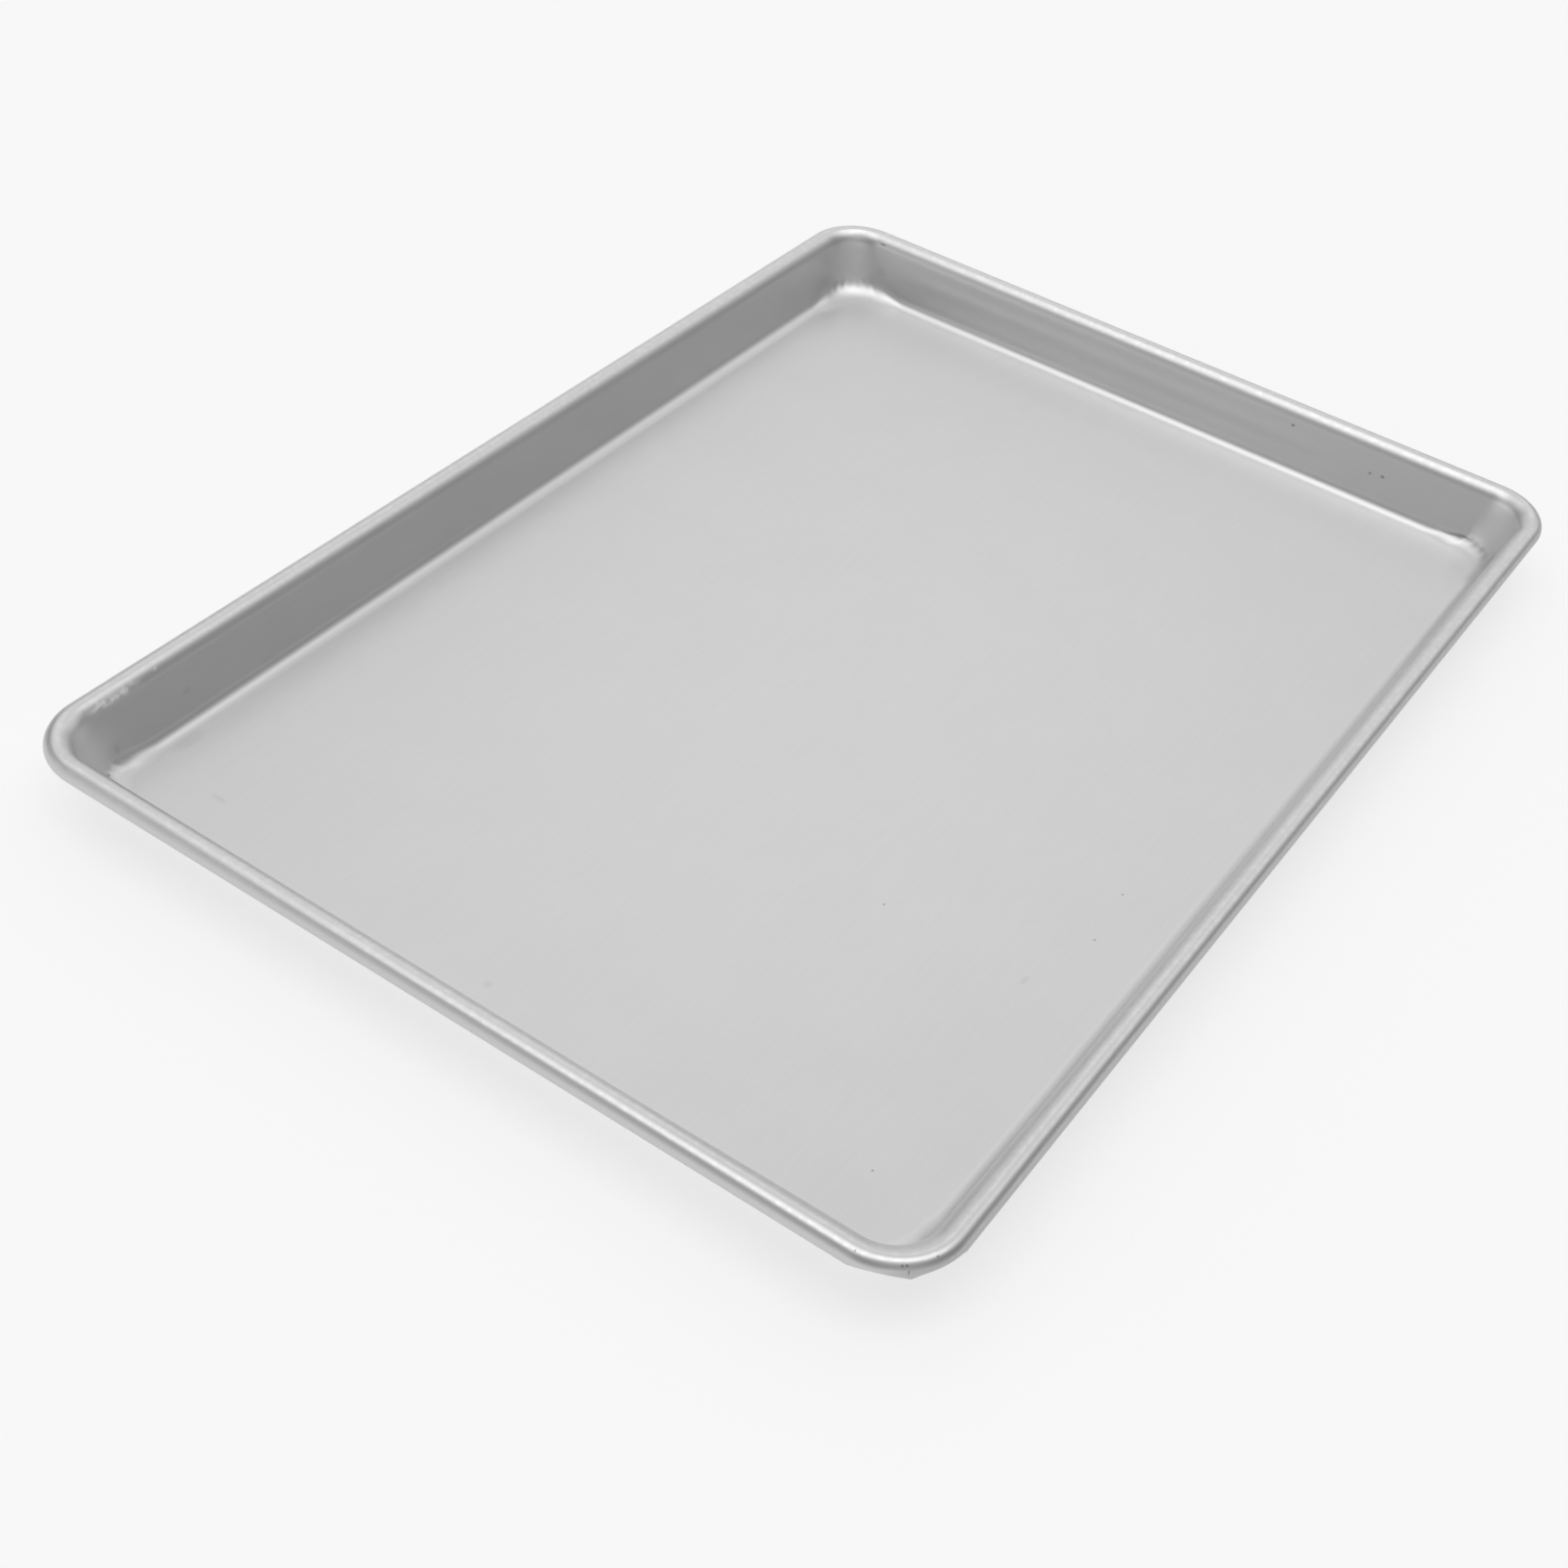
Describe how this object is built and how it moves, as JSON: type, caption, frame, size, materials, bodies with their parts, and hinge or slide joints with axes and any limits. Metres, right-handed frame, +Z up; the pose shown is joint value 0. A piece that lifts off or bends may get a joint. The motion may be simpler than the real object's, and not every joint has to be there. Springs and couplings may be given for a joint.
{
  "type": "sheet cake pan",
  "caption": "Shallow rectangular aluminium sheet pan with sloping walls, rounded corners and an edge rolled round a stiffening wire.",
  "frame": {"origin": "on the table under the middle of the pan's floor", "axes": "+X along the pan's length, +Y across its width, +Z up out of the open side"},
  "size_m": [0.454, 0.327, 0.0254],
  "materials": {
    "sheet": "satin",
    "wire": "galvanised"
  },
  "bodies": {
    "root": {"pan_sheet": "sheet", "rim_wire": "wire"}
  },
  "joints": []
}
